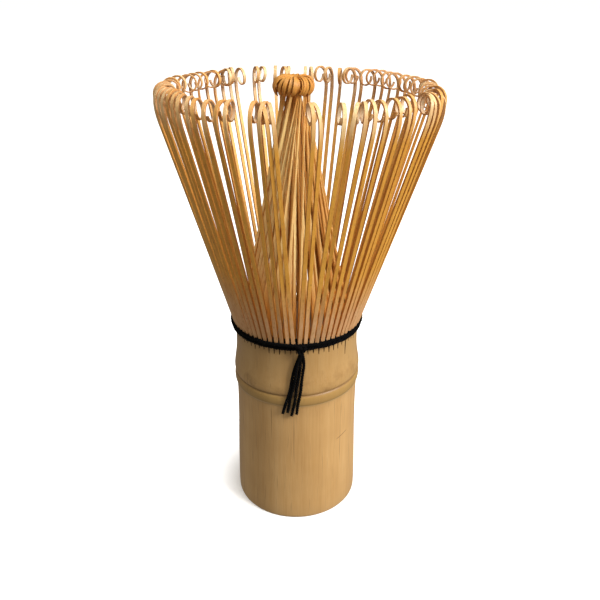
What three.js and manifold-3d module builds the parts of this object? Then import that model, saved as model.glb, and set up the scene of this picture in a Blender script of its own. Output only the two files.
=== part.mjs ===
// Bamboo tea whisk: a length of bamboo culm whose upper end is split into a ring of curled outer
// tines and a cone of inner tines, held apart by a black thread that is knotted at the front.
// Millimetres, +Z up along the culm, origin at the centre of the base, front at -Y.
import * as THREE from "three";
import { mergeVertices } from "three/addons/utils/BufferGeometryUtils.js";
import Module from "manifold-3d";

const wasm = await Module();
wasm.setup();

// ---- Driving dimensions -------------------------------------------------------------------------

const CLEARANCE = 0.3; // left between two pieces that touch
const SECTIONS = 18; // the culm's end is first split into this many sections
const TINES_IN_SECTION = 4; // and each section into this many outer and as many inner tines
const ROUND_FACETS = 36; // facets round the culm and the rings, a multiple of SECTIONS

const base = { radius: 14.5, edge: 0.5, bore: 10.4 }; // sawn lower end of the handle
const waist = { radius: 14.05, z: 27.5 }; // the handle just below the node
const ridge = { height: 5.6, rise: 0.41 }; // swelling of the node, above the waist
const groove = { height: 1.0, depth: 0.3, lip: 0.25 }; // sheath scar, its lips wider than the waist
const shoulder = { height: 6.0, rise: 0.3 }; // second swelling, above the scar
const collar = { radius: 13.95, height: 4.9 }; // from the shoulder up to the slits
const septum = { thickness: 2.4, fillet: 2 }; // woody wall inside the culm, at the node
const splitWall = { outer: 0.95, inner: 0.95, cavityLip: 0.3 }; // layers of wall at the slits

const root = { height: 1.1 }; // uncut foot of each section, below its tines
const outerTine = {
  slit: 0.35, // gap between neighbours at the foot
  thickness: 0.6,
  tipThickness: 0.34,
  lean: 17, // degrees outwards
  length: 48.3, // straight stretch above the slits
  bendRadius: 12, // where the tine turns upright again
  shoulderRadius: 3.1, // the quarter turn that leads into the curl
  curlRadius: 1.65, // the shaved tip rolls inwards
  curlTurn: 250, // degrees, after the quarter turn
};
const innerTine = {
  thickness: 0.5,
  mergeRadius: 5.6, // they close up where the cone is this narrow
  overlap: 0.6, // how far they run up into the closed blade
};
const neck = { radius: 2.8, wall: 1.1, height: 48.7 }; // where they are gathered, above their foot
const knob = {
  radius: 4.3, // the inner tips, rolled over outwards
  height: 4.3,
  core: 1.7, // radius of the opening left in the middle
  dish: 0.5, // drop of the top towards the opening
  undercut: 60, // degrees below its widest level where the roll leaves the neck
};
const bundleSag = 1.4; // how far the inner cone curves inwards between the slits and the neck

const thread = { diameter: 0.62, rounds: 2, facets: 6 };
const knot = { width: 3.0, height: 2.6, depth: 1.5, offset: 0.9, around: 10, levels: 6 };
const tails = {
  count: 4,
  length: 15.5,
  diameter: 0.7,
  spread: 1.25, // from one end to the next, at the bottom
  slant: 2.3, // to the left, over the whole length
  settle: 0.4, // share of the length in which an end comes to lie against the culm
  steps: 7,
  facets: 6,
};

// Straight steps that stand for each curve.
const swellSteps = 5;
const bendSteps = 2;
const shoulderSteps = 3;
const curlSteps = 6;
const innerSteps = 3;
const bladeSteps = 2;
const rimSteps = 5;

// ---- Places worked out from them ------------------------------------------------------------------

const tineCount = SECTIONS * TINES_IN_SECTION;
const sectionAngle = (2 * Math.PI) / SECTIONS;
const tineAngle = (2 * Math.PI) / tineCount;
const firstSection = -Math.PI / 2 + sectionAngle / 2; // a slit between sections faces the front

const ridgeTop = waist.z + ridge.height;
const shoulderStart = ridgeTop + groove.height;
const collarStart = shoulderStart + shoulder.height;
const splitZ = collarStart + collar.height; // the slits start here
const rootZ = splitZ + CLEARANCE;
const rootTop = rootZ + root.height;
const neckZ = rootTop + neck.height;
const septumTop = ridgeTop + groove.height;
const septumBottom = septumTop - septum.thickness;

const outerFoot = { out: collar.radius, in: collar.radius - splitWall.outer };
const innerFoot = { out: outerFoot.in - CLEARANCE };
innerFoot.in = innerFoot.out - splitWall.inner;
const cavityRadius = innerFoot.in - splitWall.cavityLip;

// ---- Geometry helpers -----------------------------------------------------------------------------

// A closed three.js geometry as a manifold-3d solid.
function solidOf(geometry) {
  const bare = geometry.index ? geometry.toNonIndexed() : geometry.clone();
  bare.deleteAttribute("normal");
  bare.deleteAttribute("uv");
  const weld = 1e-4; // corners closer than this are one
  const merged = mergeVertices(bare, weld);
  return new wasm.Manifold(
    new wasm.Mesh({
      numProp: 3,
      vertProperties: merged.attributes.position.array,
      triVerts: new Uint32Array(merged.index.array),
    }),
  );
}

// A manifold-3d solid as a three.js geometry.
function geometryOf(solid) {
  const mesh = solid.getMesh();
  const positions = new Float32Array(mesh.numVert * 3);
  for (let i = 0; i < mesh.numVert; i++) {
    const start = i * mesh.numProp;
    positions.set(mesh.vertProperties.subarray(start, start + 3), i * 3);
  }
  const geometry = new THREE.BufferGeometry();
  geometry.setAttribute("position", new THREE.BufferAttribute(positions, 3));
  geometry.setIndex(new THREE.BufferAttribute(mesh.triVerts, 1));
  geometry.computeVertexNormals();
  return geometry;
}

// An outline of [radius, z] points turned round the Z axis.
function turned(outline) {
  const points = outline.map(([r, z]) => new THREE.Vector2(r, z));
  return new THREE.LatheGeometry(points, ROUND_FACETS).rotateX(Math.PI / 2);
}

// A ring of rectangular section, its outline closed on itself.
function ring(inner, outer, bottom, top) {
  return turned([
    [inner, bottom],
    [outer, bottom],
    [outer, top],
    [inner, top],
    [inner, bottom],
  ]);
}

// The wedge of space that one section may fill, round the +X direction, less half the clearance.
function sectionWedge() {
  const half = sectionAngle / 2;
  const apex = CLEARANCE / 2 / Math.sin(half);
  const reach = base.radius + outerTine.length; // past the widest piece
  const shape = new THREE.Shape([
    new THREE.Vector2(apex, 0),
    new THREE.Vector2(apex + reach * Math.cos(half), -reach * Math.sin(half)),
    new THREE.Vector2(apex + reach * Math.cos(half), reach * Math.sin(half)),
  ]);
  return new THREE.ExtrudeGeometry(shape, { depth: neckZ + outerTine.length, bevelEnabled: false });
}

// A flat ribbon seen edge-on: stations of { r, z, heading, thickness } in the plane y = 0, the
// heading in radians from upright towards the outside, given a width along Y.
function ribbon(stations, width) {
  const side = (s, sign) =>
    new THREE.Vector2(
      s.r + (sign * s.thickness * Math.cos(s.heading)) / 2,
      s.z - (sign * s.thickness * Math.sin(s.heading)) / 2,
    );
  const outline = [
    ...stations.map((s) => side(s, 1)),
    ...stations.map((s) => side(s, -1)).reverse(),
  ];
  const shape = new THREE.Shape(outline);
  return new THREE.ExtrudeGeometry(shape, { depth: width, bevelEnabled: false })
    .translate(0, 0, -width / 2)
    .rotateX(Math.PI / 2);
}

const wedge = solidOf(sectionWedge());

function bambooMaterial(colour, roughness) {
  return new THREE.MeshStandardMaterial({ color: colour, roughness, metalness: 0 });
}
const culmBamboo = bambooMaterial(0xc9a46b, 0.5);
const outerBamboo = bambooMaterial(0xcf9d5a, 0.55);
const innerBamboo = bambooMaterial(0xbd8440, 0.6);
const blackThread = bambooMaterial(0x14110f, 0.9);

function part(name, geometry, material) {
  const mesh = new THREE.Mesh(geometry, material);
  mesh.name = name;
  return mesh;
}

// ---- Handle: the culm below the slits, with its node and the septum inside --------------------------

function handleOutline() {
  const outline = [
    [0, septumBottom],
    [base.bore, septumBottom],
    [base.bore, 0],
    [base.radius - base.edge, 0],
    [base.radius, base.edge],
    [waist.radius, waist.z],
  ];
  const swell = (from, height, start, end, rise) => {
    for (let i = 1; i <= swellSteps; i++) {
      const t = i / swellSteps;
      const bulge = rise * Math.sin(Math.PI * t);
      outline.push([THREE.MathUtils.lerp(start, end, t) + bulge, from + height * t]);
    }
  };
  const scarEdge = waist.radius + groove.lip;
  swell(waist.z, ridge.height, waist.radius, scarEdge, ridge.rise);
  outline.push([scarEdge - groove.depth, ridgeTop + groove.height / 2]);
  outline.push([scarEdge, shoulderStart]);
  swell(shoulderStart, shoulder.height, scarEdge, collar.radius, shoulder.rise);
  outline.push([collar.radius, splitZ]);
  outline.push([cavityRadius, splitZ]);
  outline.push([base.bore, septumTop + septum.fillet]);
  outline.push([base.bore - septum.fillet, septumTop]);
  outline.push([0, septumTop]);
  return outline;
}

// ---- Outer tines ------------------------------------------------------------------------------------

// The middle line of one outer tine: foot, straight lean, bend upright, shoulder, inward curl.
function outerStations() {
  const lean = THREE.MathUtils.degToRad(outerTine.lean);
  const stations = [];
  let r = outerFoot.out - outerTine.thickness / 2;
  let z = rootZ;
  const add = (heading, thickness) => stations.push({ r, z, heading, thickness });
  const move = (heading, distance) => {
    r += distance * Math.sin(heading);
    z += distance * Math.cos(heading);
  };
  add(0, outerTine.thickness);
  move(lean / 2, root.height);
  add(lean, outerTine.thickness);
  move(lean, outerTine.length - root.height);
  add(lean, (outerTine.thickness + outerTine.tipThickness) / 2);
  for (let i = 1; i <= bendSteps; i++) {
    const before = lean * (1 - (i - 0.5) / bendSteps);
    move(before, (outerTine.bendRadius * lean) / bendSteps);
    add(lean * (1 - i / bendSteps), outerTine.tipThickness);
  }
  let turned = 0;
  const roll = (radius, turn, steps) => {
    for (let i = 1; i <= steps; i++) {
      move(-(turned + turn / steps / 2), (radius * turn) / steps);
      turned += turn / steps;
      add(-turned, outerTine.tipThickness);
    }
  };
  roll(outerTine.shoulderRadius, Math.PI / 2, shoulderSteps);
  roll(outerTine.curlRadius, THREE.MathUtils.degToRad(outerTine.curlTurn), curlSteps);
  return stations;
}

function outerSection() {
  const footRadius = outerFoot.out - outerTine.thickness / 2;
  const width = footRadius * tineAngle - outerTine.slit;
  const tine = solidOf(ribbon(outerStations(), width));
  let section = solidOf(ring(outerFoot.in, outerFoot.out, rootZ, rootTop)).intersect(wedge);
  for (let i = 0; i < TINES_IN_SECTION; i++) {
    const angle = (i - (TINES_IN_SECTION - 1) / 2) * tineAngle;
    section = section.add(tine.rotate([0, 0, THREE.MathUtils.radToDeg(angle)]));
  }
  return geometryOf(section);
}

// ---- Inner tines ------------------------------------------------------------------------------------

// Radius of the inner cone's outside at a height: straight from the foot to the neck, less its sag.
function coneRadius(z) {
  const t = THREE.MathUtils.clamp((z - rootTop) / (neckZ - rootTop), 0, 1);
  return THREE.MathUtils.lerp(innerFoot.out, neck.radius, t) - bundleSag * Math.sin(Math.PI * t) * t;
}

// The height at which the cone has narrowed to a radius, found by halving.
function coneHeight(radius) {
  const halvings = 30;
  let low = rootTop;
  let high = neckZ;
  for (let i = 0; i < halvings; i++) {
    const middle = (low + high) / 2;
    if (coneRadius(middle) > radius) low = middle;
    else high = middle;
  }
  return low;
}

// Four slim tines rise from the foot, close up into one blade, and roll over at the tip.
function innerSection() {
  const mergeZ = coneHeight(innerTine.mergeRadius);
  let section = solidOf(ring(innerFoot.in, innerFoot.out, rootZ, rootTop));

  const rise = (mergeZ - rootZ) / innerSteps;
  const thickness = innerTine.thickness;
  const width = innerTine.mergeRadius * tineAngle;
  for (let i = 0; i < TINES_IN_SECTION; i++) {
    const angle = (i - (TINES_IN_SECTION - 1) / 2) * tineAngle;
    const stations = [];
    for (let s = 0; s <= innerSteps; s++) {
      const z = rootZ + rise * s + (s === innerSteps ? innerTine.overlap : 0);
      const out = coneRadius(z);
      const slope = (coneRadius(z + thickness) - coneRadius(z - thickness)) / (2 * thickness);
      stations.push({ r: out - thickness / 2, z, heading: Math.atan(slope), thickness });
    }
    const tine = solidOf(ribbon(stations, width));
    section = section.add(tine.rotate([0, 0, THREE.MathUtils.radToDeg(angle)]));
  }

  // The blade and the rolled tip are a slice of one turned shape.
  const outside = [];
  const inside = [];
  for (let i = 0; i <= bladeSteps; i++) {
    const t = i / bladeSteps;
    const z = THREE.MathUtils.lerp(mergeZ, neckZ, t);
    const out = coneRadius(z);
    outside.push([out, z]);
    inside.push([out - THREE.MathUtils.lerp(innerTine.thickness, neck.wall, t), z]);
  }
  const knobTop = neckZ + knob.height;
  const rim = [];
  for (let i = 0; i <= rimSteps; i++) {
    const undercut = THREE.MathUtils.degToRad(knob.undercut);
    const a = THREE.MathUtils.lerp(-undercut, Math.PI / 2, i / rimSteps);
    const middle = (knob.radius + knob.core) / 2;
    const z = neckZ + knob.height / 2 + (knob.height / 2) * Math.sin(a);
    rim.push([middle + (knob.radius - middle) * Math.cos(a), z]);
  }
  const slice = [
    ...outside,
    ...rim,
    [knob.core, knobTop - knob.dish],
    ...inside.reverse(),
    outside[0],
  ];
  return geometryOf(section.add(solidOf(turned(slice))).intersect(wedge));
}

// ---- Thread -----------------------------------------------------------------------------------------

// Outside radius of the outer tines at a height just above the slits.
function outerFace(z) {
  const lean = THREE.MathUtils.degToRad(outerTine.lean);
  return outerFoot.out + Math.max(0, z - rootZ) * Math.tan(lean);
}

// One round of thread: a ring of round section.
function roundOfThread(radius, z) {
  const outline = [];
  for (let i = 0; i <= thread.facets; i++) {
    const a = (2 * Math.PI * i) / thread.facets;
    const half = thread.diameter / 2;
    outline.push([radius + half * Math.cos(a), z + half * Math.sin(a)]);
  }
  return turned(outline);
}

const firstRoundZ = rootTop - thread.diameter / 2;
const roundPitch = thread.diameter + CLEARANCE;
const wrapRadius = (z) => outerFace(z + thread.diameter / 2) + CLEARANCE + thread.diameter / 2;
const lastRoundZ = firstRoundZ + (thread.rounds - 1) * roundPitch;

const wrapOutside = wrapRadius(lastRoundZ) + thread.diameter / 2;

// The round between the layers lies on the inner tines, just above the uncut feet.
const innerRoundZ = rootTop + CLEARANCE + thread.diameter;
const innerRoundRadius = coneRadius(innerRoundZ - thread.diameter / 2) + CLEARANCE + thread.diameter / 2;

// The knot sits over the rounds of thread at the front, and the four ends hang from it.
const knotFront = -(wrapOutside + CLEARANCE + knot.depth);
const knotZ = (firstRoundZ + lastRoundZ) / 2;

function knotGeometry() {
  const knotShape = new THREE.SphereGeometry(1 / 2, knot.around, knot.levels);
  knotShape.scale(knot.width, knot.depth, knot.height);
  return knotShape.translate(knot.offset, knotFront + knot.depth / 2, knotZ);
}

// One end of thread, hanging down the front of the culm and clear of its swellings.
function tailGeometry(index) {
  const across = (index - (tails.count - 1) / 2) * tails.spread;
  const top = knotZ - knot.height / 2 - CLEARANCE - tails.diameter / 2;
  const scarEdge = waist.radius + groove.lip;
  const shoulderOut = Math.max(scarEdge, collar.radius) + shoulder.rise;
  const widest = Math.max(base.radius, scarEdge + ridge.rise, shoulderOut);
  const lie = -(widest + CLEARANCE + tails.diameter / 2);
  const startSpread = (tails.diameter + CLEARANCE) / tails.spread;
  const points = [];
  for (let i = 0; i <= tails.steps; i++) {
    const t = i / tails.steps;
    const fan = THREE.MathUtils.lerp(startSpread, 1, t * t);
    const x = knot.offset + across * fan - tails.slant * t;
    const y = THREE.MathUtils.lerp(knotFront + knot.depth / 2, lie, Math.min(1, t / tails.settle));
    points.push(new THREE.Vector3(x, y, top - tails.length * t));
  }
  const section = new THREE.Shape(
    Array.from({ length: tails.facets }, (_, i) => {
      const a = (2 * Math.PI * i) / tails.facets;
      const half = tails.diameter / 2;
      return new THREE.Vector2(half * Math.cos(a), half * Math.sin(a));
    }),
  );
  const path = new THREE.CatmullRomCurve3(points);
  const options = { steps: 2 * tails.steps, extrudePath: path, bevelEnabled: false };
  return new THREE.ExtrudeGeometry(section, options);
}

// ---- Assembly ---------------------------------------------------------------------------------------

const whisk = new THREE.Group();
whisk.add(part("handle", turned(handleOutline()), culmBamboo));

const outer = outerSection();
const inner = innerSection();
for (let i = 0; i < SECTIONS; i++) {
  const label = String(i + 1).padStart(2, "0");
  const azimuth = firstSection + i * sectionAngle;
  const outerMesh = part(`outer_tines_${label}`, outer, outerBamboo);
  const innerMesh = part(`inner_tines_${label}`, inner, innerBamboo);
  outerMesh.rotation.z = azimuth;
  innerMesh.rotation.z = azimuth;
  whisk.add(outerMesh, innerMesh);
}

for (let i = 0; i < thread.rounds; i++) {
  const z = firstRoundZ + i * roundPitch;
  whisk.add(part(`thread_outer_round_${i + 1}`, roundOfThread(wrapRadius(z), z), blackThread));
}
const innerRound = roundOfThread(innerRoundRadius, innerRoundZ);
whisk.add(part("thread_inner_round", innerRound, blackThread));
whisk.add(part("thread_knot", knotGeometry(), blackThread));
for (let i = 0; i < tails.count; i++) {
  whisk.add(part(`thread_end_${i + 1}`, tailGeometry(i), blackThread));
}

export default whisk;
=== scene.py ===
import math
import random

import bpy
from mathutils import Matrix, Vector


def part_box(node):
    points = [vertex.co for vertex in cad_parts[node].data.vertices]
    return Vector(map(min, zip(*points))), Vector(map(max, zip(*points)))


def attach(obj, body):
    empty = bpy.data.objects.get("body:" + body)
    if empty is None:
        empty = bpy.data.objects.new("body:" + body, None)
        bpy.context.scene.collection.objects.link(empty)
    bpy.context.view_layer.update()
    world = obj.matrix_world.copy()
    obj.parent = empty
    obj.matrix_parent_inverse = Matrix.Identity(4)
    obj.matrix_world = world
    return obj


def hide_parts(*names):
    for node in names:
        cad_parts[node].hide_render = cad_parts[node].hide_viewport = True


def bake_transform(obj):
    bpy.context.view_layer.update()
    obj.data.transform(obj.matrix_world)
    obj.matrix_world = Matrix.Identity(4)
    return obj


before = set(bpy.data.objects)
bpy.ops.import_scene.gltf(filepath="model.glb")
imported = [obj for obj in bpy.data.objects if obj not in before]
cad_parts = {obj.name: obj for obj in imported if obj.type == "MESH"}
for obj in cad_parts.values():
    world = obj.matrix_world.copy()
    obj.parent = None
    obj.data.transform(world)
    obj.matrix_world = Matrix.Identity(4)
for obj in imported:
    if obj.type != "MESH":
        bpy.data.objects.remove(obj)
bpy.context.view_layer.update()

mm = 0.001
scene = bpy.context.scene

# ---- Camera --------------------------------------------------------------------------------------
# A whisk stands about a hand's length in front of the lens, seen from a little above its tips, so
# that the far side of the ring of tines shows over the near side.
camera = bpy.data.objects.new("camera", bpy.data.cameras.new("camera"))
scene.collection.objects.link(camera)
camera.location = (0, -140.3 * mm, 118 * mm)
camera.rotation_euler = (math.radians(65), 0, 0)
camera.data.sensor_width = 36
camera.data.lens = 41.1
camera.data.shift_x = 0.0058
camera.data.shift_y = -0.0117
camera.data.clip_start = 0.01
scene.camera = camera

# ---- Table and light -----------------------------------------------------------------------------
# The whisk stands on a glowing white sweep. One soft light stands to the right and in front, a
# broad one hangs overhead, and the room fills the left side faintly.
bpy.ops.object.select_all(action="DESELECT")
bpy.ops.mesh.primitive_plane_add(size=12)
table = bpy.context.object
table.name = "table"
table.visible_diffuse = False
table.visible_glossy = False
white = bpy.data.materials.new("white_sweep")
white.use_nodes = True
sweep = white.node_tree.nodes["Principled BSDF"]
sweep.inputs["Base Color"].default_value = (0.95, 0.95, 0.95, 1)
sweep.inputs["Roughness"].default_value = 1.0
sweep.inputs["Specular IOR Level"].default_value = 0.0
sweep.inputs["Emission Color"].default_value = (1, 1, 1, 1)
# It glows less close round the foot of the whisk, so that a faint shadow lies there.
spot = white.node_tree.nodes.new("ShaderNodeTexCoord")
away = white.node_tree.nodes.new("ShaderNodeVectorMath")
away.operation = "LENGTH"
glow = white.node_tree.nodes.new("ShaderNodeMapRange")
glow.inputs["From Min"].default_value = 14.8 * mm
glow.inputs["From Max"].default_value = 21 * mm
glow.inputs["To Min"].default_value = 0.2
glow.inputs["To Max"].default_value = 0.78
white.node_tree.links.new(spot.outputs["Object"], away.inputs[0])
white.node_tree.links.new(away.outputs["Value"], glow.inputs["Value"])
white.node_tree.links.new(glow.outputs["Result"], sweep.inputs["Emission Strength"])
table.data.materials.append(white)

scene.view_settings.view_transform = "Standard"
scene.world = bpy.data.worlds.new("studio")
scene.world.use_nodes = True
studio = scene.world.node_tree
fill = studio.nodes["Background"]
fill.inputs["Color"].default_value = (1.0, 0.94, 0.82, 1)
fill.inputs["Strength"].default_value = 0.27
backdrop = studio.nodes.new("ShaderNodeBackground")
backdrop.inputs["Color"].default_value = (1.0, 1.0, 1.0, 1)
backdrop.inputs["Strength"].default_value = 1.05
seen = studio.nodes.new("ShaderNodeLightPath")
either = studio.nodes.new("ShaderNodeMixShader")
studio.links.new(seen.outputs["Is Camera Ray"], either.inputs["Fac"])
studio.links.new(fill.outputs[0], either.inputs[1])
studio.links.new(backdrop.outputs[0], either.inputs[2])
studio.links.new(either.outputs[0], studio.nodes["World Output"].inputs["Surface"])


def soft_light(name, place, size, power, colour):
    light = bpy.data.objects.new(name, bpy.data.lights.new(name, "AREA"))
    light.data.size = size
    light.data.energy = power
    light.data.color = colour
    light.location = place
    middle = Vector((0, 0, 55 * mm))
    light.rotation_euler = (middle - Vector(place)).to_track_quat("-Z", "Y").to_euler()
    scene.collection.objects.link(light)


soft_light("window_right", (0.50, -0.30, 0.46), 0.3, 6.0, (1.0, 0.985, 0.96))
soft_light("overhead", (0.05, -0.25, 0.9), 0.7, 4.1, (1.0, 0.99, 0.96))

# ---- Handle --------------------------------------------------------------------------------------
# One joint of bamboo culm, sawn off square below its node, scraped and polished. It is hollow at
# both ends, and the woody septum is left inside at the node. Above the shoulder it is split.


def start_piece():
    """Leaves edit mode and lets go of everything, so the next operator acts on new work only."""
    if bpy.context.object and bpy.context.object.mode == "EDIT":
        bpy.ops.object.mode_set(mode="OBJECT")
    bpy.ops.object.select_all(action="DESELECT")


def select_only(obj):
    start_piece()
    obj.select_set(True)
    bpy.context.view_layer.objects.active = obj


def apply_modifier(obj, kind, **settings):
    select_only(obj)
    modifier = obj.modifiers.new(kind.lower(), kind)
    for name, value in settings.items():
        setattr(modifier, name, value)
    bpy.ops.object.modifier_apply(modifier=modifier.name)


def tie_down(obj, name, slot, *nodes):
    """Names a finished piece and lets it stand for its CAD nodes. Its slot is not used."""
    select_only(obj)
    bpy.ops.object.transform_apply(location=True, rotation=True, scale=True)
    obj.name = name
    obj.data.name = name
    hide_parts(*nodes)


split_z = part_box("handle")[1].z
collar = 13.93 * mm

# Each ring of the culm: its radius and height in mm and its tilt in degrees. They run from under
# the septum down the bore, round the sawn end, up the outside and down into the cup on top.
culm_rings = [
    (0.6, 31.7, 0), (9.5, 31.7, 0), (10.2, 31.3, 0), (10.4, 30.2, 0), (10.4, 0.7, 0),
    (10.45, 0.15, 0), (10.7, 0.0, 0), (14.1, 0.0, 0), (14.38, 0.08, 0), (14.5, 0.4, 0),
    (14.48, 4.0, 0), (14.3, 12.0, 0), (14.12, 20.0, 0), (14.06, 26.0, 0.3), (14.1, 29.6, 0.8),
    (14.2, 31.0, 1.1), (14.26, 31.6, 1.1), (14.46, 31.85, 1.1), (14.58, 32.3, 1.1),
    (14.62, 33.0, 1.1), (14.56, 33.75, 1.1), (14.4, 34.12, 1.1), (14.2, 34.32, 1.1),
    (14.4, 34.5, 1.1), (14.58, 34.95, 1.1), (14.6, 35.7, 1.0), (14.42, 37.0, 0.7),
    (14.15, 38.6, 0.3), (13.96, 40.3, 0), (13.9, 42.0, 0), (13.91, 43.6, 0), (13.93, 44.6, 0),
    (13.93, 45.6, 0), (13.9, 46.1, 0), (13.7, 46.2, 0), (12.1, 46.2, 0), (11.7, 46.0, 0),
    (11.2, 43.0, 0), (10.5, 37.5, 0), (9.6, 35.0, 0), (8.0, 34.2, 0), (0.6, 34.1, 0),
]


def model_handle():
    start_piece()
    radius, z, tilt = culm_rings[0]
    bpy.ops.mesh.primitive_circle_add(vertices=72, radius=radius * mm, location=(0, 0, z * mm))
    culm = bpy.context.object
    bpy.ops.object.transform_apply(location=True)
    bpy.ops.object.mode_set(mode="EDIT")
    bpy.ops.mesh.select_mode(type="VERT")
    bpy.ops.mesh.select_all(action="SELECT")
    for next_radius, next_z, next_tilt in culm_rings[1:]:
        step = {"value": (0, 0, (next_z - z) * mm)}
        bpy.ops.mesh.extrude_region_move(TRANSFORM_OT_translate=step)
        middle = (0, 0, next_z * mm)
        grow = next_radius / radius
        bpy.ops.transform.resize(value=(grow, grow, 1), center_override=middle)
        if next_tilt != tilt:
            lift = math.radians(next_tilt - tilt)
            bpy.ops.transform.rotate(value=lift, orient_axis="Y", center_override=middle)
        radius, z, tilt = next_radius, next_z, next_tilt
    bpy.ops.mesh.merge(type="CENTER")
    bpy.ops.mesh.select_all(action="DESELECT")
    bpy.ops.mesh.select_non_manifold()
    bpy.ops.mesh.merge(type="CENTER")
    bpy.ops.mesh.select_all(action="SELECT")
    bpy.ops.mesh.normals_make_consistent(inside=False)
    bpy.ops.object.mode_set(mode="OBJECT")
    apply_modifier(culm, "SUBSURF", levels=2, render_levels=2)
    return culm


handle = model_handle()

# A grown culm is never quite round: it wanders a little to one side and the other.
for axis, length in (("X", 31 * mm), ("Y", 43 * mm)):
    swelling = bpy.data.textures.new("swelling_" + axis, "CLOUDS")
    swelling.noise_scale = length
    apply_modifier(
        handle, "DISPLACE", texture=swelling, direction=axis, strength=0.3 * mm,
        mid_level=0.5, texture_coords="LOCAL",
    )

# The knife that split the culm stopped at a slightly different depth each time, and deeper at every
# ninth slit. On the right one split ran on as a crack. The slits are counted round from the front.
tine_count = 72
tine_pitch = math.tau / tine_count
front = -math.pi / 2
cut_width = 0.42 * mm
cut_above = 1.5 * mm
crack = 10
crack_depth = 3.1 * mm
knife_work = random.Random(4)


def knife_cut(azimuth, depth):
    """A wedge that stands in the wall, its edge pointing down."""
    start_piece()
    tall = depth + cut_above
    bpy.ops.mesh.primitive_cube_add(size=1, location=(collar, 0, split_z + cut_above - tall / 2))
    wedge = bpy.context.object
    bpy.ops.object.mode_set(mode="EDIT")
    bpy.ops.transform.resize(value=(2.4 * mm, cut_width, tall))
    bpy.ops.mesh.select_all(action="DESELECT")
    bpy.ops.object.mode_set(mode="OBJECT")
    for face in wedge.data.polygons:
        face.select = face.normal.z < -0.5
    bpy.ops.object.mode_set(mode="EDIT")
    bpy.ops.transform.resize(value=(1, 0.35, 1))
    bpy.ops.object.mode_set(mode="OBJECT")
    bpy.ops.object.transform_apply(location=True)
    wedge.rotation_euler.z = azimuth
    bpy.ops.object.transform_apply(rotation=True)
    return wedge


cuts = []
for i in range(tine_count):
    depth = knife_work.uniform(0.2, 0.95) * mm
    if i % 9 == 4:
        depth += 0.5 * mm
    if i == crack:
        depth = crack_depth
    cuts.append(knife_cut(tine_pitch * i + front, depth))
select_only(cuts[0])
for wedge in cuts:
    wedge.select_set(True)
bpy.ops.object.join()
knives = bpy.context.object
apply_modifier(handle, "BOOLEAN", object=knives, operation="DIFFERENCE", solver="EXACT")
bpy.data.objects.remove(knives)
select_only(handle)
bpy.ops.object.shade_smooth_by_angle(angle=math.radians(40))


def bamboo_grain():
    """Shader group for bamboo fibre: coarse and fine streaks up the culm, and dark pores."""
    group = bpy.data.node_groups.new("bamboo_grain", "ShaderNodeTree")
    face = group.interface
    for name, start in (("Coarse", 260.0), ("Fine", 2200.0), ("Stretch", 0.04), ("Seed", 0.0)):
        socket = face.new_socket(name, in_out="INPUT", socket_type="NodeSocketFloat")
        socket.default_value = start
    for name in ("Bands", "Fibres", "Pores"):
        face.new_socket(name, in_out="OUTPUT", socket_type="NodeSocketFloat")
    nodes, links = group.nodes, group.links
    given = nodes.new("NodeGroupInput")
    result = nodes.new("NodeGroupOutput")
    place = nodes.new("ShaderNodeTexCoord")
    squeeze = nodes.new("ShaderNodeCombineXYZ")
    squeeze.inputs["X"].default_value = 1
    squeeze.inputs["Y"].default_value = 1
    links.new(given.outputs["Stretch"], squeeze.inputs["Z"])
    flat = nodes.new("ShaderNodeVectorMath")
    flat.operation = "MULTIPLY"
    links.new(place.outputs["Object"], flat.inputs[0])
    links.new(squeeze.outputs[0], flat.inputs[1])
    for name, size, detail in (("Bands", "Coarse", 3.0), ("Fibres", "Fine", 2.0)):
        noise = nodes.new("ShaderNodeTexNoise")
        noise.noise_dimensions = "4D"
        noise.inputs["Detail"].default_value = detail
        noise.inputs["Roughness"].default_value = 0.6
        links.new(flat.outputs[0], noise.inputs["Vector"])
        links.new(given.outputs[size], noise.inputs["Scale"])
        links.new(given.outputs["Seed"], noise.inputs["W"])
        links.new(noise.outputs["Fac"], result.inputs[name])
    specks = nodes.new("ShaderNodeTexNoise")
    specks.noise_dimensions = "4D"
    specks.inputs["Detail"].default_value = 1.0
    links.new(flat.outputs[0], specks.inputs["Vector"])
    links.new(given.outputs["Fine"], specks.inputs["Scale"])
    links.new(given.outputs["Seed"], specks.inputs["W"])
    dark = nodes.new("ShaderNodeMapRange")
    dark.inputs["From Min"].default_value = 0.62
    dark.inputs["From Max"].default_value = 0.74
    links.new(specks.outputs["Fac"], dark.inputs["Value"])
    links.new(dark.outputs["Result"], result.inputs["Pores"])
    return group


grain = bamboo_grain()


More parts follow.
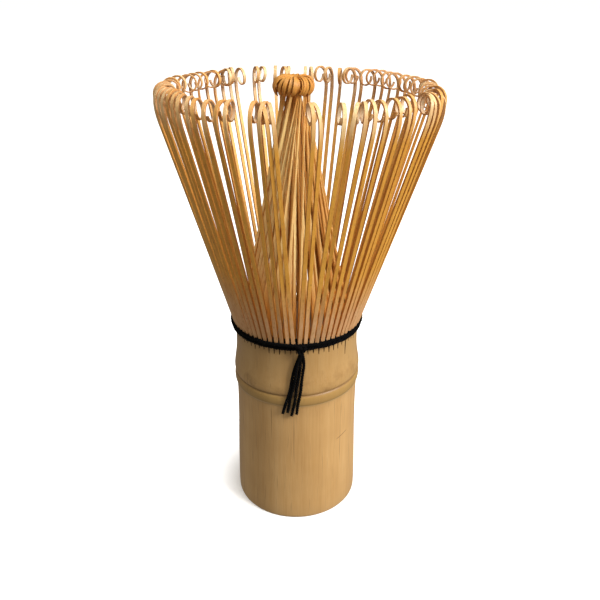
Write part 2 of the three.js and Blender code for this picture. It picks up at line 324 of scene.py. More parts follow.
class Finish:
    """A material under construction: adds nodes and joins them by name."""

    def __init__(self, name, roughness):
        self.material = bpy.data.materials.new(name)
        self.material.use_nodes = True
        self.nodes = self.material.node_tree.nodes
        self.links = self.material.node_tree.links
        self.shader = self.nodes["Principled BSDF"]
        self.shader.inputs["Roughness"].default_value = roughness

    def add(self, kind, **inputs):
        node = self.nodes.new("ShaderNode" + kind)
        for name, value in inputs.items():
            self.feed(node, name.replace("_", " "), value)
        return node

    def feed(self, node, name, value):
        if isinstance(value, bpy.types.NodeSocket):
            self.links.new(value, node.inputs[name])
        else:
            node.inputs[name].default_value = value

    def grain(self, coarse, fine, stretch, seed):
        node = self.nodes.new("ShaderNodeGroup")
        node.node_tree = grain
        self.feed(node, "Coarse", coarse)
        self.feed(node, "Fine", fine)
        self.feed(node, "Stretch", stretch)
        self.feed(node, "Seed", seed)
        return node.outputs

    def ramp(self, value, *stops):
        """Colours set out along a value from 0 to 1."""
        node = self.nodes.new("ShaderNodeValToRGB")
        elements = node.color_ramp.elements
        while len(elements) < len(stops):
            elements.new(0.5)
        for element, (position, colour) in zip(elements, stops):
            element.position = position
            element.color = (*colour, 1)
        self.links.new(value, node.inputs["Fac"])
        return node.outputs["Color"]

    def mix(self, amount, first, second, blend="MIX"):
        node = self.nodes.new("ShaderNodeMix")
        node.data_type = "RGBA"
        node.blend_type = blend
        for name, value in (("Factor_Float", amount), ("A_Color", first), ("B_Color", second)):
            socket = next(each for each in node.inputs if each.identifier == name)
            if isinstance(value, tuple):
                socket.default_value = (*value, 1)
            elif isinstance(value, float):
                socket.default_value = value
            else:
                self.links.new(value, socket)
        return next(each for each in node.outputs if each.identifier == "Result_Color")

    def span(self, value, low, high, to_low=0.0, to_high=1.0):
        """A value's range from low to high, stretched to a new range."""
        node = self.nodes.new("ShaderNodeMapRange")
        self.links.new(value, node.inputs["Value"])
        node.inputs["From Min"].default_value = low
        node.inputs["From Max"].default_value = high
        node.inputs["To Min"].default_value = to_low
        node.inputs["To Max"].default_value = to_high
        return node.outputs["Result"]

    def reckon(self, operation, *values):
        node = self.nodes.new("ShaderNodeMath")
        node.operation = operation
        for socket, value in zip(node.inputs, values):
            if isinstance(value, float):
                socket.default_value = value
            else:
                self.links.new(value, socket)
        return node.outputs[0]

    def plus(self, first, second):
        return self.reckon("ADD", first, second)

    def minus(self, first, second):
        return self.reckon("SUBTRACT", first, second)

    def times(self, first, second):
        return self.reckon("MULTIPLY", first, second)

    def place(self):
        """Where a point lies in the piece, as X, Y and Z."""
        here = self.nodes.new("ShaderNodeTexCoord")
        parts = self.nodes.new("ShaderNodeSeparateXYZ")
        self.links.new(here.outputs["Object"], parts.inputs[0])
        return parts.outputs

    def bump(self, height, distance, strength=1.0):
        node = self.nodes.new("ShaderNodeBump")
        node.inputs["Distance"].default_value = distance
        node.inputs["Strength"].default_value = strength
        self.links.new(height, node.inputs["Height"])
        self.links.new(node.outputs["Normal"], self.shader.inputs["Normal"])


def polished_culm():
    finish = Finish("polished_culm", 0.42)
    fibre = finish.grain(320.0, 2600.0, 0.03, 1.0)
    place = finish.place()
    skin = finish.ramp(
        fibre["Bands"],
        (0.30, (0.52, 0.285, 0.098)), (0.50, (0.60, 0.345, 0.128)), (0.70, (0.68, 0.42, 0.178)),
    )
    skin = finish.mix(finish.span(fibre["Fibres"], 0.35, 0.7, 0.0, 0.45), skin, (0.72, 0.47, 0.215))
    skin = finish.mix(finish.span(fibre["Pores"], 0.0, 1.0, 0.0, 0.6), skin, (0.30, 0.145, 0.045))
    here = finish.nodes["Texture Coordinate"].outputs["Object"]
    blotch = finish.add("TexNoise", Scale=95.0, Detail=3.0)
    finish.links.new(here, blotch.inputs["Vector"])
    wander = finish.span(blotch.outputs["Fac"], 0.0, 1.0, -0.3 * mm, 0.3 * mm)
    tilt = finish.times(place["X"], 0.017)
    ring = finish.plus(finish.minus(place["Z"], tilt), wander)
    # The rolled edge of the sheath scar is olive, with a pale lip below and a dark line above.
    roll = finish.ramp(
        finish.span(ring, 31.2 * mm, 37.2 * mm),
        (0.0, (0, 0, 0)), (0.08, (1, 1, 1)), (0.46, (1, 1, 1)), (0.56, (0.35, 0.35, 0.35)),
        (1.0, (0, 0, 0)),
    )
    skin = finish.mix(roll, skin, finish.mix(0.74, skin, (0.36, 0.215, 0.055)))
    scar = finish.ramp(
        finish.span(ring, 33.8 * mm, 34.8 * mm),
        (0.15, (0, 0, 0)), (0.42, (1, 1, 1)), (0.60, (1, 1, 1)), (0.95, (0, 0, 0)),
    )
    skin = finish.mix(scar, skin, finish.mix(0.6, skin, (0.14, 0.065, 0.016)))
    lip = finish.ramp(
        finish.span(ring, 31.2 * mm, 32.1 * mm),
        (0.15, (0, 0, 0)), (0.42, (1, 1, 1)), (0.55, (1, 1, 1)), (0.9, (0, 0, 0)),
    )
    skin = finish.mix(lip, skin, finish.mix(0.45, skin, (0.86, 0.60, 0.30)))
    # The skin is blotched and duller towards the sawn end. Above the scar it is darker and olive,
    # partly stain and partly painted shade under the tines.
    stain = finish.ramp(blotch.outputs["Fac"], (0.42, (0, 0, 0)), (0.66, (0.5, 0.5, 0.5)))
    low = finish.span(place["Z"], 4.0 * mm, 0.0)
    skin = finish.mix(finish.times(stain, 0.5), skin, (0.44, 0.235, 0.08))
    skin = finish.mix(finish.times(low, 0.25), skin, (0.42, 0.26, 0.12))
    # Painted shade: above the scar the culm is darkened towards olive, partly its own stain and
    # partly the shade of the tines over it.
    above = finish.span(place["Z"], 34.6 * mm, 36.0 * mm, 0.0, 0.42)
    skin = finish.mix(above, skin, (0.34, 0.20, 0.066))
    # Handling has left brown smudges just above the scar.
    smudge = finish.add("TexNoise", Scale=330.0, Detail=5.0, Roughness=0.62)
    finish.links.new(here, smudge.inputs["Vector"])
    towards_scar = finish.span(place["Z"], 41.5 * mm, 35.0 * mm)
    worn = finish.times(finish.span(smudge.outputs["Fac"], 0.50, 0.68), towards_scar)
    over_scar = finish.span(place["Z"], 34.3 * mm, 34.8 * mm)
    skin = finish.mix(finish.times(worn, finish.times(over_scar, 0.62)), skin, (0.27, 0.14, 0.045))
    # One light scratch crosses the right of the front.
    line = finish.minus(place["Z"], finish.times(place["X"], 0.29))
    off_line = finish.reckon("ABSOLUTE", finish.minus(line, 17.5 * mm))
    thin = finish.span(off_line, 0.15 * mm, 0.06 * mm)
    from_x = finish.span(place["X"], 9.1 * mm, 9.6 * mm)
    up_to_y = finish.span(place["Y"], -7.7 * mm, -8.3 * mm)
    scratch = finish.times(thin, finish.times(from_x, up_to_y))
    skin = finish.mix(finish.times(scratch, 0.8), skin, (0.24, 0.11, 0.04))
    finish.links.new(skin, finish.shader.inputs["Base Color"])
    finish.feed(finish.shader, "Roughness", finish.span(fibre["Bands"], 0.3, 0.7, 0.36, 0.5))
    finish.bump(finish.plus(fibre["Fibres"], finish.times(fibre["Bands"], 1.5)), 0.03 * mm, 0.6)
    return finish.material


def cut_bamboo(name, dark, pale, roughness):
    """Bamboo wood laid open: dark bundles of fibre in paler wood, dots where it is sawn across."""
    finish = Finish(name, roughness)
    fibre = finish.grain(700.0, 3000.0, 0.04, 7.0)
    bundles = finish.add("TexVoronoi", Scale=1700.0, Randomness=0.9)
    flat = finish.add("VectorMath")
    flat.operation = "MULTIPLY"
    flat.inputs[1].default_value = (1, 1, 0.03)
    here = finish.add("TexCoord")
    finish.links.new(here.outputs["Object"], flat.inputs[0])
    finish.links.new(flat.outputs[0], bundles.inputs["Vector"])
    dots = finish.ramp(bundles.outputs["Distance"], (0.18, (0, 0, 0)), (0.42, (1, 1, 1)))
    wood = finish.mix(dots, dark, pale)
    wood = finish.mix(finish.span(fibre["Bands"], 0.35, 0.7, 0.0, 0.5), wood, dark)
    finish.links.new(wood, finish.shader.inputs["Base Color"])
    finish.bump(finish.plus(dots, fibre["Fibres"]), 0.05 * mm, 0.7)
    return finish.material


handle.data.materials.clear()
for finish in (
    polished_culm(),
    # The split walls are painted nearly black: painted shade deep in the narrow slits.
    cut_bamboo("shaded_split_wall", (0.05, 0.018, 0.004), (0.13, 0.05, 0.012), 0.8),
    cut_bamboo("sawn_end", (0.27, 0.13, 0.05), (0.66, 0.47, 0.27), 0.75),
    cut_bamboo("pith_lining", (0.50, 0.34, 0.18), (0.70, 0.55, 0.36), 0.85),
):
    handle.data.materials.append(finish)
shaded_split_wall, sawn_end, pith_lining = 1, 2, 3
for face in handle.data.polygons:
    out = Vector((face.center.x, face.center.y, 0)).normalized()
    across = abs(face.normal.cross(out).z)
    reach = math.hypot(face.center.x, face.center.y)
    # Faces turned across the wall near its top are the slit walls, painted dark as shade.
    if face.center.z > split_z - 2.5 * mm and across > 0.7 and reach > 11.3 * mm:
        face.material_index = shaded_split_wall
    elif face.center.z < 0.2 * mm and face.normal.z < -0.7:
        face.material_index = sawn_end
    elif reach < 11.6 * mm or face.center.z > split_z + 1.0 * mm:
        face.material_index = pith_lining
tie_down(handle, "culm_handle", "culm_bamboo", "handle")
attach(handle, "handle")

# ---- Outer tines ---------------------------------------------------------------------------------
# Seventy-two slips of the culm's wall, four from each split section. Each is shaved thinner towards
# its tip, which was softened in hot water and drawn over a knife so that it curls inwards.
tine_width = 0.87 * mm
tine_thickness = 0.64 * mm
top_thickness = 0.50 * mm
foot_radius = collar - tine_thickness / 2 - 0.03 * mm
foot_z = split_z + 0.55 * mm
foot_length = 0.8 * mm
lean = math.radians(17)
ring_top = max(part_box("outer_tines_%02d" % n)[1].z for n in range(1, 19))


def select_faces(obj, wanted):
    """In edit mode, selects only the faces for which wanted is true."""
    bpy.ops.mesh.select_mode(type="FACE")
    bpy.ops.mesh.select_all(action="DESELECT")
    bpy.ops.object.mode_set(mode="OBJECT")
    for face in obj.data.polygons:
        face.select = wanted(face)
    bpy.ops.object.mode_set(mode="EDIT")


def model_slip(name, width, thickness):
    """The foot of a tine, upright at the origin, its top face selected in edit mode. What is drawn
    out of it stays marked as skin or pith side."""
    start_piece()
    bpy.ops.mesh.primitive_cube_add(size=1, location=(0, 0, foot_length / 2))
    slip = bpy.context.object
    slip.name = name
    bpy.ops.object.transform_apply(location=True)
    inside = slip.data.attributes.new("pith_side", "FLOAT", "POINT")
    inside.data.foreach_set("value", [float(corner.co.x < 0) for corner in slip.data.vertices])
    bpy.ops.object.mode_set(mode="EDIT")
    middle = (0, 0, foot_length / 2)
    bpy.ops.transform.resize(value=(thickness, width, foot_length), center_override=middle)
    select_faces(slip, lambda face: face.normal.z > 0.5)
    return slip


def draw_out(z, rise, thinner, narrower):
    """Draws the selected end of a slip straight up."""
    bpy.ops.mesh.extrude_region_move(TRANSFORM_OT_translate={"value": (0, 0, rise)})
    bpy.ops.transform.resize(value=(thinner, narrower, 1), center_override=(0, 0, z + rise))
    return z + rise


def selected_middle(obj):
    """In edit mode, the middle of what is selected."""
    obj.update_from_editmode()
    chosen = [vertex.co for vertex in obj.data.vertices if vertex.select]
    return sum(chosen, Vector()) / len(chosen)


def roll_tip(slip, arcs, hand):
    """Rolls the selected end over a run of arcs, to -X with hand 1 and to +X with hand -1. Each
    arc has a radius, an angle, a number of steps, a sideways tilt and how much thinner it ends."""
    heading = 0.0
    for radius, angle, steps, tilt, shrink in arcs:
        end = selected_middle(slip)
        centre = end - Vector((hand * math.cos(heading), 0, math.sin(heading))) * radius
        axis = (0, hand * math.cos(tilt), math.sin(tilt))
        bpy.ops.mesh.spin(steps=steps, angle=angle, center=centre, axis=axis)
        heading += angle
        end = selected_middle(slip)
        bpy.ops.transform.resize(value=(shrink, 0.97, shrink), center_override=end)


def finish_slip(slip, edge):
    """Closes a tine's shape, marks its two split sides, whose darkening is partly painted shade,
    and takes the sharpness off its edges.
    """
    bpy.ops.mesh.select_all(action="SELECT")
    bpy.ops.mesh.normals_make_consistent(inside=False)
    bpy.ops.object.mode_set(mode="OBJECT")
    split = slip.data.attributes.new("shaded_split_side", "FLOAT", "FACE")
    split.data.foreach_set("value", [abs(face.normal.y) > 0.8 for face in slip.data.polygons])
    apply_modifier(
        slip, "BEVEL", width=edge, segments=1, limit_method="ANGLE", angle_limit=math.radians(50)
    )


def model_outer_tine(name, straight, shoulder, curl, turn, tilt, twist):
    """One outer tine, its curl turned towards -X and then twisted about the tine."""
    tine = model_slip(name, tine_width, tine_thickness)
    steps = 6
    rise = (straight - foot_length) / steps
    thinner = (top_thickness / tine_thickness) ** (1 / steps)
    z = foot_length
    for i in range(steps):
        z = draw_out(z, rise, thinner, 0.97)
    arcs = (
        (12 * mm, lean, 3, 0, 0.9),
        (shoulder, math.pi / 2, 6, 0, 0.74),
        (curl, turn * 0.5, 7, tilt, 0.88),
        (curl * 0.92, turn * 0.5, 7, tilt, 0.85),
    )
    roll_tip(tine, arcs, 1)
    finish_slip(tine, 0.05 * mm)
    apply_modifier(
        tine, "SIMPLE_DEFORM", deform_method="TWIST", deform_axis="Z", limits=(0.45, 0.92),
        angle=math.radians(twist),
    )
    select_only(tine)
    bpy.ops.object.shade_smooth_by_angle(angle=math.radians(35))
    return tine


# Each way a tine has come out: its straight length and the radii of its shoulder and curl in mm,
# then the curl's turn, its sideways tilt and the twist of the tine in degrees.
tine_shapes = [
    (48.5, 2.5, 1.70, 280, 5, -5), (48.3, 2.7, 1.74, 262, -4, -1), (48.7, 2.3, 1.60, 300, 7, 2),
    (48.5, 2.4, 1.78, 252, 3, 5), (48.1, 2.8, 1.66, 290, -6, 9), (48.9, 2.2, 1.66, 270, 6, -10),
]
outer_models = []
for i, (straight, shoulder, curl, turn, tilt, twist) in enumerate(tine_shapes):
    outer_models.append(
        model_outer_tine(
            "outer_model_%d" % i, straight * mm, shoulder * mm, curl * mm, math.radians(turn),
            math.radians(tilt), twist,
        )
    )

# Where the ring gapes: the place, in degrees round from the front, and how far it has opened there.
gapes = [
    (0, 8.2), (5, 1.5), (10, 3.0), (-20, 4.2), (-45, 1.2), (-70, 1.0), (-90, 1.0), (-110, 1.2),
    (-130, 2.0), (-155, 4.0), (-165, 4.0), (180, 4.0), (170, 4.0), (155, 4.0), (145, 3.0),
    (120, 1.5), (95, 1.0), (75, 1.2), (50, 1.2), (35, 1.2),
]


def tine_drift(bearing):
    """How far a tine's tip has drifted sideways, in degrees, away from the gaps beside it."""
    drift = 0.0
    for gap, opening in gapes:
        away = (bearing - gap + 180) % 360 - 180
        drift += math.copysign(opening / 2 * math.exp((2.5 - abs(away)) / 6), away)
    return drift


def copy_piece(model):
    copy = model.copy()
    copy.data = model.data.copy()
    scene.collection.objects.link(copy)
    return copy


def set_tone(obj, tone):
    """Stores how light the bamboo of this one tine is, for its material."""
    shade = obj.data.attributes.new("tone", "FLOAT", "POINT")
    shade.data.foreach_set("value", [tone] * len(obj.data.vertices))


def join_pieces(pieces):
    select_only(pieces[0])
    for piece in pieces:
        piece.select_set(True)
    bpy.ops.object.transform_apply(location=True, rotation=True, scale=True)
    bpy.ops.object.join()
    return bpy.context.object


def scraped_bamboo(name, foot, middle, far, side, pith, pith_tip):
    """Skin colours up a tine, the split sides darkened, partly their own colour and partly painted
    shade, and the paler face that was pared inside.
    """
    finish = Finish(name, 0.48)
    tone = finish.nodes.new("ShaderNodeAttribute")
    tone.attribute_name = "tone"
    fibre = finish.grain(900.0, 5200.0, 0.05, finish.times(tone.outputs["Fac"], 40.0))
    place = finish.place()
    height = finish.span(place["Z"], split_z, ring_top)
    skin = finish.ramp(height, (0.0, foot), (0.14, foot), (0.34, middle))
    # Towards the tips the skin takes the far colour: partly the shaved wood, partly painted light
    # on the outer tines and painted shade round the inner knob.
    up_the_tip = finish.span(height, 0.86, 0.94)
    shaved_tip_and_painted_light = finish.times(up_the_tip, finish.span(tone.outputs["Fac"], -0.2, 0.4))
    skin = finish.mix(shaved_tip_and_painted_light, skin, far)
    pared = finish.nodes.new("ShaderNodeAttribute")
    pared.attribute_name = "pith_side"
    # The pared face changes towards the tips too, partly painted light on the outer loops and
    # painted shade under the inner knob.
    inside = finish.ramp(height, (0.82, pith), (0.94, pith_tip))
    skin = finish.mix(finish.times(pared.outputs["Fac"], 0.85), skin, inside)
    streak = finish.span(fibre["Bands"], 0.32, 0.68, 0.0, 1.0)
    skin = finish.mix(finish.times(streak, 0.4), skin, side)
    lighter = finish.mix(finish.span(tone.outputs["Fac"], 0.0, 1.0, 0.32, 0.0), skin, side)
    skin = finish.mix(finish.span(fibre["Fibres"], 0.45, 0.7, 0.0, 0.3), lighter, side)
    skin = finish.mix(finish.span(fibre["Pores"], 0.0, 1.0, 0.0, 0.35), skin, (0.18, 0.07, 0.015))
    # Painted shade: the split sides are darkened, partly their own burnt colour and partly the
    # shade in the narrow gaps between tines.
    split = finish.nodes.new("ShaderNodeAttribute")
    split.attribute_name = "shaded_split_side"
    skin = finish.mix(finish.times(split.outputs["Fac"], 0.7), skin, side)
    finish.links.new(skin, finish.shader.inputs["Base Color"])
    finish.feed(finish.shader, "Roughness", finish.span(fibre["Bands"], 0.3, 0.7, 0.4, 0.56))
    finish.bump(finish.plus(fibre["Fibres"], fibre["Bands"]), 0.04 * mm, 0.6)
    return finish.material


# Painted light: the outer tines' pale tips and nearly white pared face at the loops stand partly
# for light bounced from the white sweep.
outer_bamboo = scraped_bamboo(
    "scraped_outer_bamboo", (0.84, 0.52, 0.27), (0.93, 0.48, 0.07), (1.0, 0.74, 0.39),
    (0.50, 0.18, 0.02), (0.98, 0.62, 0.18), (1.0, 0.88, 0.64),
)

# No two tines stand alike. Each leans, drifts and is turned by its own amount, those at the sides
# are turned the most, and those at the left of the front are browner. A tine's tip ends 29 mm out
# from the axis and 50 mm above its foot.
tip_out = 29
tip_up = 50
shaving = random.Random(11)
for section in range(18):
    slips = []
    for n in range(4):
        number = section * 4 + n
        bearing = 360 / tine_count * (number + 0.5)
        slip = copy_piece(shaving.choice(outer_models))
        azimuth = math.radians(bearing) + front
        drift = math.radians(tine_drift(bearing) + shaving.gauss(0, 0.3))
        side_lean = -drift * tip_out / tip_up
        out_lean = lean + math.radians(shaving.gauss(-0.25, 0.3) + 0.75 * math.cos(azimuth))
        taller = 1.012 - 0.003 * math.sin(azimuth)
        turned = math.radians(-17 * math.cos(azimuth) + shaving.gauss(0, 4))
        slip.matrix_world = (
            Matrix.Rotation(azimuth, 4, "Z")
            @ Matrix.Translation((foot_radius, 0, foot_z))
            @ Matrix.Rotation(side_lean, 4, "X")
            @ Matrix.Rotation(out_lean, 4, "Y")
            @ Matrix.Rotation(turned, 4, "Z")
            @ Matrix.Diagonal((1, shaving.uniform(0.93, 1.06), taller, 1))
        )
        browner = 0.45 if bearing > 300 else 1.0
        set_tone(slip, shaving.random() * browner)
        slips.append(slip)
    tines = join_pieces(slips)
    tines.data.materials.clear()
    tines.data.materials.append(outer_bamboo)
    label = "%02d" % (section + 1)
    tie_down(tines, "outer_slips_" + label, "outer_tine_bamboo", "outer_tines_" + label)
    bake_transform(tines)
for model in outer_models:
    bpy.data.objects.remove(model)

# ---- Inner tines ---------------------------------------------------------------------------------
# The inner half of the split wall, as seventy-two thinner slips drawn together into a twisted cone.
# Every third one lies outside. The others run up the middle, and their shaved tips are rolled
# outwards over the rest as a knob of overlapping bands.
inner_foot_radius = 12.3 * mm
inner_foot_z = split_z + 0.45 * mm
inner_thickness = 0.42 * mm
neck_z = 96.8 * mm
neck_radius = 2.6 * mm
core_z = 97.95 * mm
core_radius = 0.7 * mm
bundle_lean = Vector((-0.6 * mm, 0, 0))
core_swing = 36
cover_swing = 56


def model_inner_tine(name, length, widths, arcs, twist):
    """One inner tine, its tip rolled towards +X and then turned about the tine. It has one width
    at the foot, one along the middle and one at the tip."""
    tine = model_slip(name, widths[0], inner_thickness)
    z = foot_length
    width = widths[0]
    steps = 8
    rise = (length - foot_length) / steps
    for i in range(steps):
        if i < steps - 2:
            new_width = width + (widths[1] - width) * 0.35
            z = draw_out(z, rise, 0.975, new_width / width)
        else:
            new_width = width + (widths[2] - width) * 0.6
            z = draw_out(z, rise, 0.78, new_width / width)
        width = new_width
    roll_tip(tine, arcs, -1)
    finish_slip(tine, 0.045 * mm)
    apply_modifier(
        tine, "SIMPLE_DEFORM", deform_method="TWIST", deform_axis="Z", limits=(0.15, 0.9),
        angle=math.radians(twist),
    )
    select_only(tine)
    bpy.ops.object.shade_smooth_by_angle(angle=math.radians(35))
    return tine


def core_arcs(radius, turn):
    return (
        (radius * 0.92, math.radians(100), 7, 0, 0.96),
        (radius, math.radians(turn - 100), 9, 0, 0.9),
    )


core_length = math.hypot(inner_foot_radius - core_radius, core_z - inner_foot_z)
cover_length = math.hypot(inner_foot_radius - neck_radius, neck_z - inner_foot_z)
core_widths = (0.88 * mm, 0.62 * mm, 0.70 * mm)
core_models = [
    model_inner_tine("core_model_a", core_length, core_widths, core_arcs(1.84 * mm, 236), 56),
    model_inner_tine("core_model_b", core_length, core_widths, core_arcs(1.78 * mm, 226), 62),
    model_inner_tine("core_model_c", core_length, core_widths, core_arcs(1.90 * mm, 244), 50),
]
under_model = model_inner_tine(
    "under_model", core_length, core_widths, core_arcs(1.5 * mm, 240), 58
)
cover_widths = (0.90 * mm, 0.62 * mm, 0.50 * mm)
cover_roll = ((0.7 * mm, math.radians(130), 4, 0, 0.95),)
cover_models = [
    model_inner_tine("cover_model_a", cover_length, cover_widths, cover_roll, 50),
    model_inner_tine("cover_model_b", cover_length, cover_widths, cover_roll, 60),
]

# Painted light and shade: the inner middle is far brighter than the wood, standing for light where
# the outer tines shade the bundle, and the tips darken, partly as painted shade under the knob.
inner_bamboo = scraped_bamboo(
    "scraped_inner_bamboo", (0.80, 0.37, 0.065), (1.0, 0.82, 0.37), (0.64, 0.295, 0.056),
    (0.66, 0.29, 0.05), (0.92, 0.54, 0.16), (0.60, 0.27, 0.05),
)

# Of every nine tines, the first, fourth and seventh lie outside, and two are rolled up small under
# the knob. The other four are spread evenly over it: their place in the nine, and the degrees by
# which each is moved round.
knob_spread = {1: 0.6, 4: -3.1, 5: 3.1, 8: -0.6}

gathering = random.Random(23)
for section in range(18):
    slips = []
    for n in range(4):
        number = section * 4 + n
        azimuth = math.radians(360 / tine_count * (number + 0.5)) + front
        outside = number % 3 == 0
        spread = knob_spread.get(number % 9)
        if outside:
            slip = copy_piece(gathering.choice(cover_models))
            swing = math.radians(cover_swing + gathering.gauss(0, 10))
            radius = neck_radius + gathering.uniform(-0.25, 0.15) * mm
            height = neck_z
            length = cover_length
            foot = inner_foot_radius + 0.3 * mm
        else:
            slip = copy_piece(gathering.choice(core_models) if spread else under_model)
            swing = math.radians(core_swing + (spread or 0) + gathering.gauss(0, 2))
            radius = core_radius + gathering.uniform(-0.2, 0.2) * mm
            height = core_z + gathering.uniform(-0.12, 0.12) * mm
            length = core_length
            foot = inner_foot_radius - 0.1 * mm
        start = Matrix.Rotation(azimuth, 3, "Z") @ Vector((foot, 0, 0))
        start += Vector((0, 0, inner_foot_z))
        end = Matrix.Rotation(azimuth + swing, 3, "Z") @ Vector((radius, 0, 0)) + bundle_lean
        end += Vector((0, 0, height))
        along = (end - start).normalized()
        outward = Matrix.Rotation(azimuth + swing * 0.3, 3, "Z") @ Vector((1, 0, 0))
        across = along.cross(outward).normalized()
        outward = across.cross(along)
        turn = Matrix((outward, across, along)).transposed().to_4x4()
        stretch = (end - start).length / length
        slip.matrix_world = Matrix.Translation(start) @ turn @ Matrix.Diagonal((1, 1, stretch, 1))
        set_tone(slip, gathering.random())
        slips.append(slip)
    tines = join_pieces(slips)
    tines.data.materials.clear()
    tines.data.materials.append(inner_bamboo)
    label = "%02d" % (section + 1)
    tie_down(tines, "inner_slips_" + label, "inner_tine_bamboo", "inner_tines_" + label)
    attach(tines, "handle")
for model in core_models + cover_models + [under_model]:
    bpy.data.objects.remove(model)

# ---- Thread --------------------------------------------------------------------------------------
# Black cotton of three plies. It is woven between the two layers of tines just above the slits,
# passes twice round the outside, and is knotted at the front with its four ends left hanging.
yarn_radius = 0.37 * mm
yarn_twist = 1.8 * mm
low_round_z = split_z + 1.25 * mm
high_round_z = split_z + 2.15 * mm
thread_rise = math.tan(math.radians(0.8))


def lay_route(points, closed):
    """A smooth curve through the air that a length of yarn is laid along."""
    curve = bpy.data.curves.new("route", "CURVE")
    curve.dimensions = "3D"
    spline = curve.splines.new("NURBS")
    spline.points.add(len(points) - 1)
    for point, place in zip(spline.points, points):
        point.co = (*place, 1)
    spline.order_u = 4
    spline.resolution_u = 6
    spline.use_cyclic_u = closed
    spline.use_endpoint_u = not closed
    route = bpy.data.objects.new("route", curve)
    scene.collection.objects.link(route)
    bpy.context.view_layer.update()
    return route, spline.calc_length()


def lay_yarn(points, closed, thick=1.0):
    """Three plies twisted together, laid along a route."""
    route, length = lay_route(points, closed)
    radius = yarn_radius * thick
    steps = 4
    twists = max(2, round(length / (yarn_twist / 3)))
    rise = length / twists / steps
    start_piece()
    plies = []
    for i in range(3):
        bpy.ops.mesh.primitive_circle_add(
            vertices=6, radius=radius * 0.55, fill_type="NOTHING", rotation=(0, math.pi / 2, 0),
            location=(0, 0, radius * 0.48),
        )
        ply = bpy.context.object
        bpy.ops.object.transform_apply(location=True, rotation=True)
        ply.rotation_euler.x = i * math.tau / 3
        bpy.ops.object.transform_apply(rotation=True)
        plies.append(ply)
    yarn = join_pieces(plies)
    bpy.ops.object.mode_set(mode="EDIT")
    bpy.ops.mesh.select_mode(type="EDGE")
    bpy.ops.mesh.select_all(action="SELECT")
    for i in range(steps):
        bpy.ops.mesh.extrude_region_move(TRANSFORM_OT_translate={"value": (rise, 0, 0)})
        bpy.ops.transform.rotate(
            value=math.tau / 3 / steps, orient_axis="X", center_override=(rise * (i + 1), 0, 0)
        )
    bpy.ops.object.mode_set(mode="OBJECT")
    apply_modifier(
        yarn, "ARRAY", count=twists, use_relative_offset=False, use_constant_offset=True,
        constant_offset_displace=(rise * steps, 0, 0), use_merge_vertices=True,
        merge_threshold=0.01 * mm,
    )
    apply_modifier(yarn, "CURVE", object=route, deform_axis="POS_X")
    bpy.data.objects.remove(route)
    select_only(yarn)
    bpy.ops.object.mode_set(mode="EDIT")
    bpy.ops.mesh.select_mode(type="VERT")
    bpy.ops.mesh.select_all(action="SELECT")
    bpy.ops.mesh.remove_doubles(threshold=0.012 * mm)
    bpy.ops.mesh.select_all(action="DESELECT")
    bpy.ops.mesh.select_non_manifold()
    if not closed:
        bpy.ops.mesh.fill()
    bpy.ops.mesh.select_all(action="SELECT")
    bpy.ops.mesh.normals_make_consistent(inside=False)
    bpy.ops.object.mode_set(mode="OBJECT")
    bpy.ops.object.shade_smooth()
    return yarn


def black_cotton():
    finish = Finish("black_cotton", 0.85)
    finish.shader.inputs["Specular IOR Level"].default_value = 0.08
    finish.shader.inputs["Sheen Weight"].default_value = 0.02
    finish.shader.inputs["Sheen Roughness"].default_value = 0.4
    here = finish.add("TexCoord")
    hairs = finish.add("TexNoise", Scale=9000.0, Detail=3.0)
    lint = finish.add("TexNoise", Scale=1500.0, Detail=1.0)
    finish.links.new(here.outputs["Object"], hairs.inputs["Vector"])
    finish.links.new(here.outputs["Object"], lint.inputs["Vector"])
    cotton = finish.ramp(
        hairs.outputs["Fac"], (0.35, (0.0004, 0.0004, 0.0006)), (0.7, (0.0025, 0.0025, 0.003))
    )
    specks = finish.ramp(lint.outputs["Fac"], (0.72, (0, 0, 0)), (0.78, (1, 1, 1)))
    cotton = finish.mix(finish.times(specks, 0.25), cotton, (0.06, 0.058, 0.055))
    finish.links.new(cotton, finish.shader.inputs["Base Color"])
    finish.bump(hairs.outputs["Fac"], 0.05 * mm, 0.8)
    return finish.material


cotton = black_cotton()


def tie_thread(piece, name, *nodes):
    piece.data.materials.clear()
    piece.data.materials.append(cotton)
    tie_down(piece, name, "black_thread", *nodes)
    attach(piece, "handle")


def round_route(radius, z, dip, seed):
    """Round the feet of the tines, pulled a little into each gap between them."""
    pull = random.Random(seed)
    points = []
    for i in range(2 * tine_count):
        azimuth = math.pi * i / tine_count + front
        r = radius - (dip if i % 2 == 0 else 0) + pull.gauss(0, 0.03) * mm
        x = r * math.cos(azimuth)
        points.append((x, r * math.sin(azimuth), z + thread_rise * x + pull.gauss(0, 0.06) * mm))
    return points


lower_round = lay_yarn(round_route(collar + 0.54 * mm, low_round_z, 0.2 * mm, 1), True, 1.2)
tie_thread(lower_round, "thread_lower_round", "thread_outer_round_1")
upper_round = lay_yarn(round_route(collar + 0.82 * mm, high_round_z, 0.24 * mm, 2), True, 1.2)
tie_thread(upper_round, "thread_upper_round", "thread_outer_round_2")

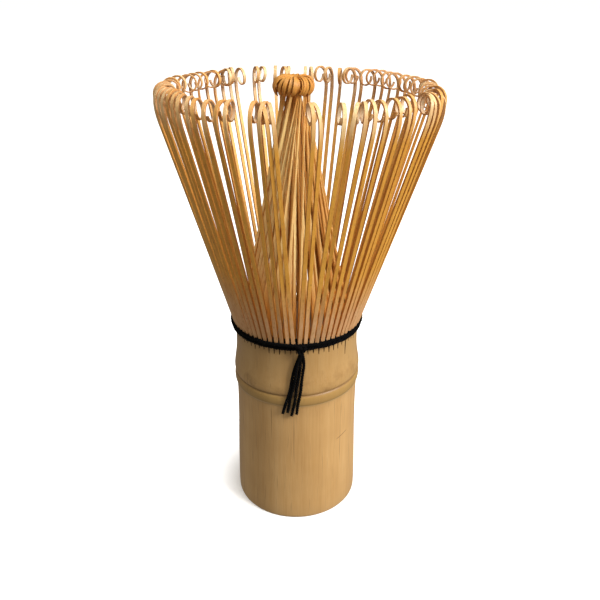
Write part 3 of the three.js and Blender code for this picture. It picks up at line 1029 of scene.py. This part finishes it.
# Between the layers one round lies on the inner tines, and a stitch climbs out of each gap.
stitches = [lay_yarn(round_route(collar - 1.0 * mm, high_round_z + 0.35 * mm, 0.0, 3), True, 0.9)]
start_piece()
bpy.ops.mesh.primitive_circle_add(vertices=7, radius=0.24 * mm, fill_type="NGON")
stitch = bpy.context.object
bpy.ops.object.mode_set(mode="EDIT")
bpy.ops.mesh.spin(steps=5, angle=math.radians(150), center=(-0.62 * mm, 0, 0), axis=(0, 1, 0))
finish_slip(stitch, 0.01 * mm)
select_only(stitch)
bpy.ops.object.shade_smooth()
sewing = random.Random(5)
for i in range(tine_count):
    loop = copy_piece(stitch)
    azimuth = tine_pitch * i + front
    height = high_round_z + thread_rise * collar * math.cos(azimuth) + sewing.uniform(0.1, 0.4) * mm
    loop.matrix_world = (
        Matrix.Rotation(azimuth, 4, "Z")
        @ Matrix.Translation((collar + 0.45 * mm, 0, height))
        @ Matrix.Rotation(math.radians(sewing.uniform(-12, 12)), 4, "X")
    )
    stitches.append(loop)
bpy.data.objects.remove(stitch)
tie_thread(join_pieces(stitches), "thread_between_layers", "thread_inner_round")

# The knot: the two ends crossed and drawn tight over the rounds.
knot_place = Vector((0.9 * mm, -15.55 * mm, (low_round_z + high_round_z) / 2))
knot_route = []
for i in range(27):
    t = math.tau * i / 27
    knot_route.append(
        knot_place
        + Vector((
            (math.sin(t) + 2 * math.sin(2 * t)) * 0.33 * mm,
            -math.sin(3 * t) * 0.34 * mm,
            (math.cos(t) - 2 * math.cos(2 * t)) * 0.32 * mm,
        ))
    )
tie_thread(lay_yarn(knot_route, True, 1.0), "thread_tied_knot", "thread_knot")

# The four ends: three hang together at first and part below, and the fourth keeps to itself. All
# lengths are in mm until a point is set: s runs down the thread, and each end has its place across
# the others near the knot and at its tip.
hang_from = 45.6
under_knot = 0.9
hang = 15.6
places_across = [(-0.95, -1.55), (-0.45, -0.6), (0.12, 0.42), (1.0, 1.5)]
for i, (above, below) in enumerate(places_across):
    points = [knot_place + Vector((above * 0.2 * mm, 0.0, -0.4 * mm))]
    for step in range(9):
        s = under_knot + (hang - under_knot) * step / 8
        apart = min(1, 0.3 + (s - under_knot) / 3.5)
        across = apart * (above + (below - above) * (s / hang) ** 2)
        sway = 0.1 * math.sin(0.8 * s + 2.1 * i)
        x = 1.15 - 0.138 * s - 0.0018 * s * s + across + sway
        z = hang_from - s + 0.5 * math.sin(2.1 * i)
        culm_radius = 14.62 - 0.06 * abs(z - 34.5) if z > 31 else 14.42 - 0.05 * (31 - z)
        lifted = 0.5 * min(1, max(0, (11 - s) / 5)) if i == 1 else 0.0
        y = -math.sqrt((culm_radius + 0.42) ** 2 - x * x) - lifted
        points.append((x * mm, y * mm, z * mm))
    end = lay_yarn(points, False, 0.95)
    tie_thread(end, "thread_loose_end_%d" % (i + 1), "thread_end_%d" % (i + 1))
